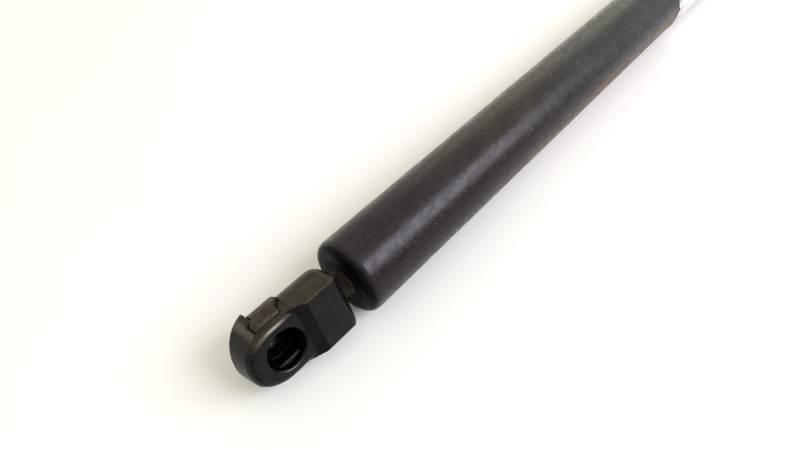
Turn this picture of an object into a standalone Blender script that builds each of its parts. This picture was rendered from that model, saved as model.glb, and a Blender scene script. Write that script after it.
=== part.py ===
"""Gas strut stay: a 22 mm pressure tube, a 10 mm piston rod and a moulded ball socket at each end.

The strut lies on its tube, fully extended. +X runs along it from the tube's socket to the rod's socket,
+Z is up and the origin is under the middle of the strut. Sizes are in metres.
"""

import math

import bmesh
import bpy
from mathutils import Matrix, Vector

# Driving dimensions of the strut.
SOCKET_SPACING = 0.500  # between the two ball centres, fully extended
STROKE = 0.200
TUBE_RADIUS = 0.011
TUBE_WALL = 0.0015
ROD_RADIUS = 0.005
THREAD_RADIUS = 0.00385  # of the stud and of the rod's threaded end
BALL_RADIUS = 0.005  # of the ball stud that each socket takes
GAP = 0.0003  # left between neighbouring pieces
RUNNING_CLEARANCE = 0.00006  # radial, where the rod or the ring slides
CHAMFER = 0.0004  # on the ends of the plug, the stud and the rod
SIDES = 32  # facets round every turned piece
ROUND = 1 / math.cos(math.pi / SIDES)  # puts a turned piece's facets, not its corners, at its radius

# Driving dimensions of an end fitting, from its ball's centre: "along" is towards the strut's middle,
# "across" is sideways, and "out" is the way the socket opens.
SOCKET_ROLL = math.radians(67.0)  # from straight up, turned about the strut
HALF_WIDTH = 0.00825
HEAD_RADIUS = 0.0106  # of its ball-shaped back
RIM_RADIUS = 0.0100
RIM_EDGE = 0.0005
HEAD_END_START = -0.001  # where the straight sides turn into the head's half-elliptical end
HEAD_END_LENGTH = 0.0097
FACE_HEIGHT = 0.0049
NECK_HEIGHT = 0.0064
NECK_END = 0.0193
NECK_END_ROUNDING = 0.0031
NECK_FRONT_ROUNDING = 0.0005
STEP_START = 0.0057  # where the slope up from the head's face to the neck's begins
STEP_END = 0.0089
CAVITY_CLEARANCE = 0.0001
MOUTH_CHAMFER = 0.0003
BORE_START = 0.0085
TUBE_TO_BALL = 0.0224

# Driving dimensions of a fitting's safety clip, cut from flat spring steel.
CLIP_THICKNESS = 0.00075
CLIP_RADIUS = 0.008725  # to the middle of the steel
CLIP_BEND = 0.0009
CLIP_LEG_HEIGHT = 0.002275
CLIP_TIP = 0.0044
CLIP_LEG_HALF_WIDTH = 0.0035
CLIP_BAND_START = -0.0016
CLIP_BAND_END = 0.0057
CLIP_SHIFT_START = 0.0009  # the blank moves over from leg to band between these heights
CLIP_SHIFT_END = -0.0015
CLIP_TRAVEL = 0.003

# Driving dimensions of the tube's two ends and of what closes them.
RIM_ROUNDING = 0.0027
PLUG_RIM_RADIUS = 0.0068
GUIDE_RIM_RADIUS = 0.0076
SHOULDER_LENGTH = 0.0014  # the plug and the guide are eased where the rim is rolled over them
SHOULDER_DEPTH = 0.0012
PLUG_LENGTH = 0.008
O_RING_GROOVE_RADIUS = 0.0073
O_RING_GROOVE_WIDTH = 0.0024
O_RING_GROOVE_DOWN = 0.0022  # from the plug's inner end
O_RING_THICKNESS = 0.00196
BEAD_FROM_ROD_END = 0.0226
BEAD_DEPTH = 0.0009
BEAD_HALF_WIDTH = 0.002
GUIDE_LENGTH = 0.012
LINER_RADIUS = 0.006
WIPER_LENGTH = 0.0021
WIPER_RECESS = 0.0005
WIPER_EDGE = 0.0003
WIPER_LIP = 0.0006
LIP_CLEARANCE = 0.00015
SEAL_LENGTH = 0.0045
SEAL_POCKET_DEPTH = 0.0025
SEAL_EDGE = 0.0008
WASHER_THICKNESS = 0.0015
WASHER_CLEARANCE = 0.0004

# Driving dimensions of the label, which is a film on some of the tube's facets.
LABEL_START = 0.171  # from the tube's closed end
LABEL_LENGTH = 0.044
LABEL_THICKNESS = 0.00015
LABEL_GAP = 0.00005
LABEL_FACETS = 10
LABEL_FIRST_FACET = 1  # counted from the top of the tube towards -Y

# Driving dimensions of the piston's pieces, in their order from the rod's shoulder towards the closed end.
ROD_SHOULDER_FROM_ROD_END = 0.025
STOP_RING_RADIUS = 0.0078
STOP_RING_LENGTH = 0.004
STOP_RING_EDGE = 0.0006
SUPPORT_DISC_RADIUS = 0.0086
SUPPORT_DISC_THICKNESS = 0.0013
PISTON_LENGTH = 0.006
RING_GROOVE_RADIUS = 0.0076
RING_GROOVE_LAND = 0.0018
RING_SIDE_CLEARANCE = 0.0002
ORIFICE_RADIUS = 0.0007
ORIFICE_OFFSET = 0.0055
ORIFICE_COUNT = 3
LABYRINTH_RADIUS = 0.0084
LABYRINTH_THICKNESS = 0.0013
NUT_LENGTH = 0.004
NUT_ACROSS_FLATS = 0.010
TAIL_RADIUS = 0.003
TAIL_PAST_NUT = 0.0006

TUBE_LENGTH = STROKE + 0.052  # the piston, the guide pack and the plug need the rest
TUBE_INNER = TUBE_RADIUS - TUBE_WALL
TUBE_START = -SOCKET_SPACING / 2 + TUBE_TO_BALL
FIT_RADIUS = TUBE_INNER - GAP  # of the pieces that sit in the tube
ROD_SHOULDER = TUBE_LENGTH - ROD_SHOULDER_FROM_ROD_END
ROD_BALL = SOCKET_SPACING - TUBE_TO_BALL
CAVITY_RADIUS = BALL_RADIUS + CAVITY_CLEARANCE
CHANNEL_RADIUS = CLIP_RADIUS - CLIP_THICKNESS / 2 - GAP
LEG_TOP = CLIP_LEG_HEIGHT + CLIP_THICKNESS / 2 + GAP
FAR = 0.013  # from the ball's centre, clear of its head on every side

# Turns for the outlines of a fitting's shapes.
ALONG_FROM_SECTION = Matrix(((0, 0, 1), (1, 0, 0), (0, 1, 0)))  # (across, out), extruded along
ACROSS_FROM_SIDE = Matrix.Rotation(math.pi / 2, 3, "X")  # (along, out), extruded across
OUT_FROM_FRONT = Matrix.Identity(3)  # (along, across), extruded out

PARTS = bpy.data.collections.new("gas_strut_stay")
CUTTERS = bpy.data.collections.new("cutters")

FINISHES = {
    "tube_paint": ((0.020, 0.020, 0.023), 0.38, 0.0),
    "plug_steel": ((0.16, 0.10, 0.07), 0.62, 0.8),
    "socket_plastic": ((0.016, 0.015, 0.014), 0.58, 0.0),
    "spring_steel": ((0.10, 0.09, 0.08), 0.45, 0.9),
    "label_film": ((0.72, 0.72, 0.70), 0.35, 0.0),
    "guide_plastic": ((0.025, 0.025, 0.026), 0.50, 0.0),
    "liner_bronze": ((0.42, 0.30, 0.16), 0.40, 0.9),
    "seal_rubber": ((0.012, 0.012, 0.012), 0.70, 0.0),
    "washer_steel": ((0.48, 0.48, 0.47), 0.35, 1.0),
    "rod_steel": ((0.33, 0.34, 0.35), 0.22, 1.0),
    "piston_alloy": ((0.50, 0.51, 0.52), 0.40, 1.0),
    "ring_ptfe": ((0.10, 0.09, 0.08), 0.55, 0.0),
    "stop_rubber": ((0.05, 0.02, 0.02), 0.65, 0.0),
}


def clear_scene():
    """Removes whatever the file held, and links the two collections."""
    for obj in list(bpy.data.objects):
        bpy.data.objects.remove(obj, do_unlink=True)
    for collection in (PARTS, CUTTERS):
        bpy.context.scene.collection.children.link(collection)


def finish(slot):
    """The Principled material of this slot, made the first time it is asked for."""
    if slot in bpy.data.materials:
        return bpy.data.materials[slot]
    colour, roughness, metallic = FINISHES[slot]
    material = bpy.data.materials.new(slot)
    material.use_nodes = True
    shader = material.node_tree.nodes["Principled BSDF"]
    shader.inputs["Base Color"].default_value = (*colour, 1.0)
    shader.inputs["Roughness"].default_value = roughness
    shader.inputs["Metallic"].default_value = metallic
    return material


def add_part(name, mesh, slot, parent):
    """A node of the strut."""
    part = bpy.data.objects.new(name, mesh)
    if not mesh.materials:
        mesh.materials.append(finish(slot))
    PARTS.objects.link(part)
    part.parent = parent
    return part


def add_cutter(name, mesh):
    """A helper solid that shapes a part and isn't a part itself."""
    cutter = bpy.data.objects.new(name, mesh)
    cutter.hide_render = True
    cutter.display_type = "WIRE"
    CUTTERS.objects.link(cutter)
    return cutter


def add_empty(name, location, rotation):
    """An empty on an axis, for the pieces that belong to it."""
    empty = bpy.data.objects.new(name, None)
    empty.location = location
    empty.rotation_euler = rotation
    empty.empty_display_size = 0.01
    PARTS.objects.link(empty)
    return empty


def arc(centre, radius, start, end, steps):
    """Points on an arc between two angles in degrees, ends included."""
    angles = [math.radians(start + (end - start) * step / steps) for step in range(steps + 1)]
    return [(centre[0] + radius * math.cos(a), centre[1] + radius * math.sin(a)) for a in angles]


def screw_profile(name, profile):
    """A mesh of (radius, height) points that run down the outer side; a ring's profile closes on itself."""
    edges = [(i, i + 1) for i in range(len(profile) - 1)]
    if profile[0][0] > 0:
        edges.append((len(profile) - 1, 0))
    mesh = bpy.data.meshes.new(name)
    mesh.from_pydata([(radius * ROUND, 0.0, height) for radius, height in profile], edges, [])
    return mesh


def add_screw(obj, angle=2 * math.pi, steps=SIDES):
    """Turns the object's profile about its Z axis."""
    screw = obj.modifiers.new("turn", "SCREW")
    screw.angle = angle
    screw.steps = steps
    screw.render_steps = steps
    screw.use_merge_vertices = True
    screw.merge_threshold = 0.00001
    return screw


def turned(name, profile, slot, parent):
    """A turned node about its parent's Z axis, with a facet facing straight down."""
    part = add_part(name, screw_profile(name, profile), slot, parent)
    part.rotation_euler.z = math.pi / SIDES
    add_screw(part)
    return part


def turned_cutter(name, profile):
    """A turned helper solid about Z."""
    cutter = add_cutter(name, screw_profile(name, profile))
    add_screw(cutter)
    return cutter


def outline_mesh(name, points, depth, turn):
    """A closed outline extruded to this depth about its own plane, then turned by a 3x3 rotation."""
    curve = bpy.data.curves.new(name, "CURVE")
    curve.dimensions = "2D"
    curve.fill_mode = "BOTH"
    curve.extrude = depth / 2
    spline = curve.splines.new("POLY")
    spline.points.add(len(points) - 1)
    for point, (x, y) in zip(spline.points, points):
        point.co = (x, y, 0.0, 1.0)
    spline.use_cyclic_u = True
    guide = bpy.data.objects.new(name, curve)
    CUTTERS.objects.link(guide)
    evaluated = guide.evaluated_get(bpy.context.evaluated_depsgraph_get())
    mesh = bpy.data.meshes.new_from_object(evaluated)
    bpy.data.objects.remove(guide)
    work = bmesh.new()
    work.from_mesh(mesh)
    bmesh.ops.remove_doubles(work, verts=work.verts, dist=0.000001)
    bmesh.ops.dissolve_limit(work, angle_limit=0.001, verts=work.verts, edges=work.edges)
    bmesh.ops.transform(work, matrix=turn.to_4x4(), verts=work.verts)
    bmesh.ops.recalc_face_normals(work, faces=work.faces)
    work.to_mesh(mesh)
    work.free()
    return mesh


def box_cutter(name, low, high):
    """A helper box between two corners."""
    low, high = Vector(low), Vector(high)
    mesh = bpy.data.meshes.new(name)
    work = bmesh.new()
    bmesh.ops.create_cube(work, size=1.0)
    bmesh.ops.scale(work, vec=high - low, verts=work.verts)
    bmesh.ops.translate(work, vec=(low + high) / 2, verts=work.verts)
    work.to_mesh(mesh)
    work.free()
    return add_cutter(name, mesh)


def rod_cutter(name, radius, start, end, axis):
    """A helper cylinder from start to end along X or Z."""
    mesh = bpy.data.meshes.new(name)
    work = bmesh.new()
    bmesh.ops.create_cone(work, cap_ends=True, segments=24, radius1=radius, radius2=radius, depth=end - start)
    bmesh.ops.translate(work, vec=(0.0, 0.0, (start + end) / 2), verts=work.verts)
    if axis == "X":
        bmesh.ops.rotate(work, matrix=Matrix.Rotation(math.pi / 2, 3, "Y"), verts=work.verts)
    work.to_mesh(mesh)
    work.free()
    return add_cutter(name, mesh)


def combine(obj, other, operation):
    """Cuts, joins or intersects the object with a helper."""
    boolean = obj.modifiers.new(other.name, "BOOLEAN")
    boolean.operation = operation
    boolean.solver = "EXACT"
    boolean.object = other


def bake(obj):
    """Makes the object's modifiers its mesh, shaded smooth but for its sharp edges."""
    bpy.context.view_layer.update()
    evaluated = obj.evaluated_get(bpy.context.evaluated_depsgraph_get())
    mesh = bpy.data.meshes.new_from_object(evaluated)
    obj.modifiers.clear()
    obj.data = mesh
    mesh.name = obj.name
    mesh.shade_smooth()
    mesh.set_sharp_from_angle(angle=math.radians(32.0))
    return mesh


def ring_profile(inner, outer, low, high):
    """A plain ring's section."""
    return [(inner, high), (outer, high), (outer, low), (inner, low)]


# ---- The tube and what is fixed in it ----


def bead(radius):
    """The rolled bead's part of a wall at this radius, from the rod end down."""
    middle = TUBE_LENGTH - BEAD_FROM_ROD_END
    steps = 6
    points = []
    for step in range(steps + 1):
        share = 1.0 - 2.0 * step / steps
        dip = BEAD_DEPTH * (1.0 + math.cos(math.pi * share)) / 2
        points.append((radius - dip, middle + share * BEAD_HALF_WIDTH))
    return points


def make_tube(parent):
    """The pressure tube: rolled in at both ends, with a bead that the guide pack seats on."""
    corner = TUBE_RADIUS - RIM_ROUNDING
    inner_rounding = RIM_ROUNDING - TUBE_WALL
    top = TUBE_LENGTH
    profile = [(GUIDE_RIM_RADIUS, top)]
    profile += arc((corner, top - RIM_ROUNDING), RIM_ROUNDING, 90.0, 0.0, 5)
    profile += bead(TUBE_RADIUS)
    profile += arc((corner, RIM_ROUNDING), RIM_ROUNDING, 0.0, -90.0, 5)
    profile += [(PLUG_RIM_RADIUS, 0.0), (PLUG_RIM_RADIUS, TUBE_WALL)]
    profile += arc((corner, RIM_ROUNDING), inner_rounding, -90.0, 0.0, 3)
    profile += reversed(bead(TUBE_INNER))
    profile += arc((corner, top - RIM_ROUNDING), inner_rounding, 0.0, 90.0, 3)
    profile += [(GUIDE_RIM_RADIUS, top - TUBE_WALL)]
    return turned("pressure_tube", profile, "tube_paint", parent)


def make_end_plug(parent):
    """The closed end's plug, grooved for its O-ring, and the threaded stud forged in one with it."""
    seat = TUBE_WALL + GAP
    top = seat + PLUG_LENGTH
    groove_high = top - O_RING_GROOVE_DOWN
    groove_low = groove_high - O_RING_GROOVE_WIDTH
    boss = PLUG_RIM_RADIUS - GAP
    tip = BORE_START - TUBE_TO_BALL + GAP
    profile = [
        (0.0, top),
        (FIT_RADIUS - CHAMFER, top),
        (FIT_RADIUS, top - CHAMFER),
        (FIT_RADIUS, groove_high),
        (O_RING_GROOVE_RADIUS, groove_high),
        (O_RING_GROOVE_RADIUS, groove_low),
        (FIT_RADIUS, groove_low),
        (FIT_RADIUS, seat + SHOULDER_LENGTH),
        (FIT_RADIUS - SHOULDER_DEPTH, seat),
        (boss, seat),
        (boss, GAP),
        (THREAD_RADIUS, GAP),
        (THREAD_RADIUS, tip + CHAMFER),
        (THREAD_RADIUS - CHAMFER, tip),
        (0.0, tip),
    ]
    turned("end_plug", profile, "plug_steel", parent)
    middle = ((O_RING_GROOVE_RADIUS + TUBE_INNER) / 2, (groove_low + groove_high) / 2)
    section = arc(middle, O_RING_THICKNESS / 2, 90.0, -240.0, 11)
    turned("end_plug_o_ring", section, "seal_rubber", parent)


def make_guide_pack(parent):
    """What closes the rod end, from the rim inwards: wiper, guide and liner, lip seal, backing washer."""
    guide_top = TUBE_LENGTH - TUBE_WALL - GAP
    guide_low = guide_top - GUIDE_LENGTH
    wiper_high = TUBE_LENGTH - WIPER_RECESS
    wiper_low = wiper_high - WIPER_LENGTH
    make_guide(guide_top, guide_low, parent)
    make_wiper(wiper_high, wiper_low, parent)
    bore = ROD_RADIUS * ROUND + RUNNING_CLEARANCE
    liner = ring_profile(bore, LINER_RADIUS, guide_low + GAP, wiper_low - GAP)
    turned("guide_liner", liner, "liner_bronze", parent)
    make_seal(guide_low - GAP, parent)
    washer_high = guide_low - GAP - SEAL_LENGTH - GAP
    washer = ring_profile(
        ROD_RADIUS + WASHER_CLEARANCE, FIT_RADIUS, washer_high - WASHER_THICKNESS, washer_high
    )
    turned("seal_backing_washer", washer, "washer_steel", parent)


def make_guide(top, low, parent):
    """The guide's housing, whose nose fills the rolled rim."""
    bore = LINER_RADIUS + GAP
    nose = GUIDE_RIM_RADIUS - GAP
    profile = [
        (bore, TUBE_LENGTH - GAP),
        (nose, TUBE_LENGTH - GAP),
        (nose, top),
        (FIT_RADIUS - SHOULDER_DEPTH, top),
        (FIT_RADIUS, top - SHOULDER_LENGTH),
        (FIT_RADIUS, low),
        (bore, low),
    ]
    turned("guide_housing", profile, "guide_plastic", parent)


def make_wiper(high, low, parent):
    """The wiper in the guide's nose, with its lip at the rod."""
    lip = ROD_RADIUS + LIP_CLEARANCE
    profile = [
        (lip, high),
        (LINER_RADIUS - WIPER_EDGE, high),
        (LINER_RADIUS, high - WIPER_EDGE),
        (LINER_RADIUS, low),
        (lip + WIPER_EDGE, low),
        (lip, high - WIPER_LIP),
    ]
    turned("wiper_ring", profile, "seal_rubber", parent)


def make_seal(high, parent):
    """The rod seal: two lips with a pocket between them that the gas presses apart."""
    low = high - SEAL_LENGTH
    lip = ROD_RADIUS + LIP_CLEARANCE
    profile = [
        (lip + SEAL_EDGE / 2, high),
        (FIT_RADIUS, high),
        (FIT_RADIUS, low),
        (FIT_RADIUS - SEAL_EDGE, low),
        ((FIT_RADIUS + lip) / 2, low + SEAL_POCKET_DEPTH),
        (lip + SEAL_EDGE, low),
        (lip, low),
        (lip, low + SEAL_EDGE),
    ]
    turned("rod_seal", profile, "seal_rubber", parent)


def make_label(parent):
    """The rating label: a film stuck part of the way round the tube."""
    radius = TUBE_RADIUS + LABEL_GAP
    facet = 2 * math.pi / SIDES
    mesh = screw_profile("rating_label", [(0.0, LABEL_START + LABEL_LENGTH), (0.0, LABEL_START)])
    for vertex in mesh.vertices:
        vertex.co.x = radius * ROUND
    label = add_part("rating_label", mesh, "label_film", parent)
    label.rotation_euler.z = math.pi + facet * (LABEL_FIRST_FACET + 0.5)
    add_screw(label, LABEL_FACETS * facet, LABEL_FACETS)
    film = label.modifiers.new("film", "SOLIDIFY")
    film.thickness = LABEL_THICKNESS
    film.offset = 1.0
    film.use_even_offset = True


# ---- The rod and its piston ----


def make_rod(parent):
    """The piston rod, with a reduced tail for the piston and a threaded end for its fitting."""
    thread_tip = ROD_BALL - BORE_START - GAP
    rod_end = ROD_BALL - NECK_END - GAP
    tail_end = piston_places()["tail_end"]
    profile = [
        (0.0, thread_tip),
        (THREAD_RADIUS - CHAMFER, thread_tip),
        (THREAD_RADIUS, thread_tip - CHAMFER),
        (THREAD_RADIUS, rod_end),
        (ROD_RADIUS - CHAMFER, rod_end),
        (ROD_RADIUS, rod_end - CHAMFER),
        (ROD_RADIUS, ROD_SHOULDER + CHAMFER),
        (ROD_RADIUS - CHAMFER, ROD_SHOULDER),
        (TAIL_RADIUS, ROD_SHOULDER),
        (TAIL_RADIUS, tail_end + CHAMFER),
        (TAIL_RADIUS - CHAMFER, tail_end),
        (0.0, tail_end),
    ]
    turned("piston_rod", profile, "rod_steel", parent)


def piston_places():
    """Where each piece of the piston stack begins, going from the rod's shoulder to the tail's end."""
    places = {"support": ROD_SHOULDER - GAP}
    places["piston"] = places["support"] - SUPPORT_DISC_THICKNESS - GAP
    places["labyrinth"] = places["piston"] - PISTON_LENGTH - GAP
    places["nut"] = places["labyrinth"] - LABYRINTH_THICKNESS - GAP
    places["tail_end"] = places["nut"] - NUT_LENGTH - TAIL_PAST_NUT
    return places


def make_piston_stack(parent, ring_parent):
    """The pieces on the rod's tail, from the support disc to the nut, and the stop ring on the rod."""
    places = piston_places()
    bore = TAIL_RADIUS + GAP
    make_stop_ring(parent)
    top = places["support"]
    disc = ring_profile(bore, SUPPORT_DISC_RADIUS, top - SUPPORT_DISC_THICKNESS, top)
    turned("piston_support_disc", disc, "washer_steel", parent)
    make_piston(places["piston"], bore, parent, ring_parent)
    top = places["labyrinth"]
    disc = ring_profile(bore, LABYRINTH_RADIUS, top - LABYRINTH_THICKNESS, top)
    turned("piston_labyrinth_disc", disc, "washer_steel", parent)
    make_nut(places["nut"], bore, parent)


def make_stop_ring(parent):
    """The soft ring on the rod that meets the guide pack when the strut is fully extended."""
    low = ROD_SHOULDER + CHAMFER
    high = low + STOP_RING_LENGTH
    inner = ROD_RADIUS + GAP
    profile = [
        (inner, high),
        (STOP_RING_RADIUS - STOP_RING_EDGE, high),
        (STOP_RING_RADIUS, high - STOP_RING_EDGE),
        (STOP_RING_RADIUS, low + STOP_RING_EDGE),
        (STOP_RING_RADIUS - STOP_RING_EDGE, low),
        (inner, low),
    ]
    turned("extension_stop_ring", profile, "stop_rubber", parent)


def make_piston(top, bore, parent, ring_parent):
    """The piston, grooved for its ring and pierced by the orifices that damp the stroke, and the ring."""
    low = top - PISTON_LENGTH
    groove_high, groove_low = top - RING_GROOVE_LAND, low + RING_GROOVE_LAND
    profile = [
        (bore, top),
        (FIT_RADIUS, top),
        (FIT_RADIUS, groove_high),
        (RING_GROOVE_RADIUS, groove_high),
        (RING_GROOVE_RADIUS, groove_low),
        (FIT_RADIUS, groove_low),
        (FIT_RADIUS, low),
        (bore, low),
    ]
    piston = turned("piston_body", profile, "piston_alloy", parent)
    for index in range(ORIFICE_COUNT):
        orifice = rod_cutter(f"orifice_{index}", ORIFICE_RADIUS, low - GAP, top + GAP, "Z")
        angle = 2 * math.pi * index / ORIFICE_COUNT
        orifice.location = (ORIFICE_OFFSET * math.cos(angle), ORIFICE_OFFSET * math.sin(angle), 0.0)
        orifice.parent = parent
        combine(piston, orifice, "DIFFERENCE")
    outer = (TUBE_INNER - RUNNING_CLEARANCE) / ROUND
    ring = ring_profile(
        RING_GROOVE_RADIUS + GAP, outer, groove_low + RING_SIDE_CLEARANCE, groove_high - RING_SIDE_CLEARANCE
    )
    turned("piston_ring", ring, "ring_ptfe", ring_parent)


def make_nut(top, bore, parent):
    """The hexagon nut on the rod's tail."""
    mesh = bpy.data.meshes.new("piston_nut")
    work = bmesh.new()
    corner = NUT_ACROSS_FLATS / math.sqrt(3.0)
    bmesh.ops.create_cone(work, cap_ends=True, segments=6, radius1=corner, radius2=corner, depth=NUT_LENGTH)
    bmesh.ops.translate(work, vec=(0.0, 0.0, top - NUT_LENGTH / 2), verts=work.verts)
    work.to_mesh(mesh)
    work.free()
    nut = add_part("piston_nut", mesh, "washer_steel", parent)
    hole = rod_cutter("nut_hole", bore, top - NUT_LENGTH - GAP, top + GAP, "Z")
    hole.parent = parent
    combine(nut, hole, "DIFFERENCE")


# ---- The end fittings ----


def head_profile():
    """The head as turned about the socket's own axis: flat face, rounded rim, ball-shaped back."""
    rim = arc((RIM_RADIUS - RIM_EDGE, FACE_HEIGHT - RIM_EDGE), RIM_EDGE, 90.0, 0.0, 3)
    back = arc((0.0, 0.0), HEAD_RADIUS, 0.0, -85.0, 10)
    return [(0.0, FACE_HEIGHT)] + rim + back + [(0.0, -HEAD_RADIUS)]


def head_plan():
    """The head from the front as (along, across) points: straight sides and a half-elliptical end."""
    far = NECK_END
    circle = arc((0.0, 0.0), 1.0, 90.0, 270.0, 24)
    end = [(HEAD_END_START + x * HEAD_END_LENGTH, y * HALF_WIDTH) for x, y in circle]
    return end + [(far, -HALF_WIDTH), (far, HALF_WIDTH)]


def neck_section():
    """The neck's section as (across, out) points: flat front, straight sides and a round back."""
    back = arc((0.0, 0.0), HALF_WIDTH, 180.0, 360.0, 20)
    return [(HALF_WIDTH, NECK_HEIGHT), (-HALF_WIDTH, NECK_HEIGHT)] + back


def slope_above():
    """The space above the slope from the head's face to the neck's, as (along, out) points."""
    slope = (NECK_HEIGHT - FACE_HEIGHT) / (STEP_END - STEP_START)
    reach = 0.006
    low = (STEP_START - reach, FACE_HEIGHT - slope * reach)
    high = (STEP_END + reach, NECK_HEIGHT + slope * reach)
    return [low, high, (low[0], high[1])]


def make_neck():
    """The neck as a helper: rounded at its end, eased along its front edges, sloped down to the head's face."""
    start = STEP_START - 0.003
    length = NECK_END - start
    mesh = outline_mesh("neck", neck_section(), length, ALONG_FROM_SECTION)
    work = bmesh.new()
    work.from_mesh(mesh)
    weights = work.edges.layers.float.new("bevel_weight_edge")
    for edge in work.edges:
        ends = [vertex.co for vertex in edge.verts]
        if min(end.x for end in ends) > 0:
            edge[weights] = 1.0
        elif max(end.x for end in ends) > 0 and min(end.z for end in ends) > NECK_HEIGHT - GAP:
            edge[weights] = NECK_FRONT_ROUNDING / NECK_END_ROUNDING
    work.to_mesh(mesh)
    work.free()
    neck = add_cutter("neck", mesh)
    neck.location.x = start + length / 2
    rounding = neck.modifiers.new("rounding", "BEVEL")
    rounding.width = NECK_END_ROUNDING
    rounding.segments = 4
    rounding.limit_method = "WEIGHT"
    above = outline_mesh("neck_slope", slope_above(), 3 * FAR, ACROSS_FROM_SIDE)
    space = add_cutter("neck_slope", above)
    combine(neck, space, "DIFFERENCE")
    return neck


def clip_channel():
    """What the clip's band needs cleared round the head, as (across, out) points of a deep U."""
    back = arc((0.0, 0.0), CHANNEL_RADIUS, 180.0, 360.0, 20)
    inner = [(-CHANNEL_RADIUS, LEG_TOP)] + back + [(CHANNEL_RADIUS, LEG_TOP)]
    return [(-FAR, LEG_TOP)] + inner + [(FAR, LEG_TOP), (FAR, -FAR), (-FAR, -FAR)]


def cut_clip_space(head):
    """Cuts the band's channel, the legs' windows, and the reliefs where the legs turn down to the band."""
    width = CLIP_BAND_END - CLIP_BAND_START + 2 * GAP
    mesh = outline_mesh("clip_channel", clip_channel(), width, ALONG_FROM_SECTION)
    channel = add_cutter("clip_channel", mesh)
    channel.location.x = (CLIP_BAND_START + CLIP_BAND_END) / 2
    combine(head, channel, "DIFFERENCE")
    side = CLIP_LEG_HALF_WIDTH + GAP
    relief_low = CLIP_SHIFT_END - CLIP_TRAVEL - GAP
    for sign in (-1, 1):
        inner, outer = sorted((sign * CHANNEL_RADIUS, sign * FAR))
        relief = box_cutter(f"leg_relief_{sign}", (-side, inner, relief_low), (0.0, outer, LEG_TOP))
        combine(head, relief, "DIFFERENCE")
    leg_low = CLIP_LEG_HEIGHT - CLIP_THICKNESS / 2 - CLIP_TRAVEL - GAP
    window = box_cutter("leg_window", (-side, -FAR, leg_low), (side, FAR, LEG_TOP))
    combine(head, window, "DIFFERENCE")


def cut_ball_space(head):
    """Cuts the ball's cavity, open at the head's face, and the bore for the stud."""
    mouth = CAVITY_RADIUS + MOUTH_CHAMFER
    opening = [(mouth, FAR), (mouth, FACE_HEIGHT), (CAVITY_RADIUS, FACE_HEIGHT - MOUTH_CHAMFER)]
    back = arc((0.0, 0.0), CAVITY_RADIUS, 0.0, -85.0, 8)
    profile = [(0.0, FAR)] + opening + back + [(0.0, -CAVITY_RADIUS)]
    combine(head, turned_cutter("ball_cavity", profile), "DIFFERENCE")
    bore = rod_cutter("stud_bore", THREAD_RADIUS + GAP, BORE_START, NECK_END + FAR, "X")
    combine(head, bore, "DIFFERENCE")


def make_socket_mesh():
    """The moulded ball socket about its ball's centre, with X along, Y across and Z out."""
    head = turned_cutter("socket_blank", head_profile())
    plan = add_cutter("head_plan", outline_mesh("head_plan", head_plan(), 3 * FAR, OUT_FROM_FRONT))
    combine(head, plan, "INTERSECT")
    combine(head, make_neck(), "UNION")
    cut_clip_space(head)
    cut_ball_space(head)
    return bake(head)


def clip_path():
    """The clip's middle line as (across, out) points, from the tip of one leg round the back to the other."""
    turn = CLIP_RADIUS - CLIP_BEND
    leg = [(CLIP_TIP, CLIP_LEG_HEIGHT)] + arc((turn, CLIP_LEG_HEIGHT - CLIP_BEND), CLIP_BEND, 90.0, 0.0, 4)
    leg.append((CLIP_RADIUS, CLIP_SHIFT_START))
    back = arc((0.0, 0.0), CLIP_RADIUS, 0.0, -180.0, 28)
    return leg + back + [(-across, out) for across, out in reversed(leg)]


def make_clip_mesh():
    """The safety clip: legs through the head's windows, joined by a band round its back."""
    mesh = bpy.data.meshes.new("safety_clip")
    work = bmesh.new()
    rows = []
    for across, out in clip_path():
        share = (CLIP_SHIFT_START - out) / (CLIP_SHIFT_START - CLIP_SHIFT_END)
        share = min(max(share, 0.0), 1.0)
        low = -CLIP_LEG_HALF_WIDTH + share * (CLIP_BAND_START + CLIP_LEG_HALF_WIDTH)
        high = CLIP_LEG_HALF_WIDTH + share * (CLIP_BAND_END - CLIP_LEG_HALF_WIDTH)
        rows.append([work.verts.new((along, across, out)) for along in (low, high)])
    for first, second in zip(rows, rows[1:]):
        work.faces.new((first[0], first[1], second[1], second[0]))
    work.to_mesh(mesh)
    work.free()
    clip = add_cutter("clip_blank", mesh)
    steel = clip.modifiers.new("steel", "SOLIDIFY")
    steel.thickness = CLIP_THICKNESS
    steel.offset = 0.0
    steel.use_even_offset = True
    return bake(clip)


def make_fittings(centres):
    """A socket and its clip at each end, from the same two meshes."""
    socket_mesh = make_socket_mesh()
    clip_mesh = make_clip_mesh()
    for end, centre in centres.items():
        add_part(f"{end}_fitting_body", socket_mesh, "socket_plastic", centre)
        add_part(f"{end}_fitting_clip", clip_mesh, "spring_steel", centre)


def main():
    clear_scene()
    along_strut = (0.0, math.pi / 2, 0.0)  # turns a piece's Z axis onto +X
    tube_axis = add_empty("tube_axis", (TUBE_START, 0.0, TUBE_RADIUS), along_strut)
    rod_axis = add_empty("rod_axis", (TUBE_START, 0.0, TUBE_RADIUS), along_strut)
    ring_axis = add_empty("ring_axis", (TUBE_START, 0.0, TUBE_RADIUS), along_strut)
    half = SOCKET_SPACING / 2
    centres = {
        "tube": add_empty("tube_ball_centre", (-half, 0.0, TUBE_RADIUS), (SOCKET_ROLL, 0.0, 0.0)),
        "rod": add_empty("rod_ball_centre", (half, 0.0, TUBE_RADIUS), (-SOCKET_ROLL, 0.0, math.pi)),
    }
    make_tube(tube_axis)
    make_end_plug(tube_axis)
    make_guide_pack(tube_axis)
    make_label(tube_axis)
    make_rod(rod_axis)
    make_piston_stack(rod_axis, ring_axis)
    for part in list(PARTS.objects):
        if part.type == "MESH":
            bake(part)
    make_fittings(centres)


main()
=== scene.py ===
import math

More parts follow.
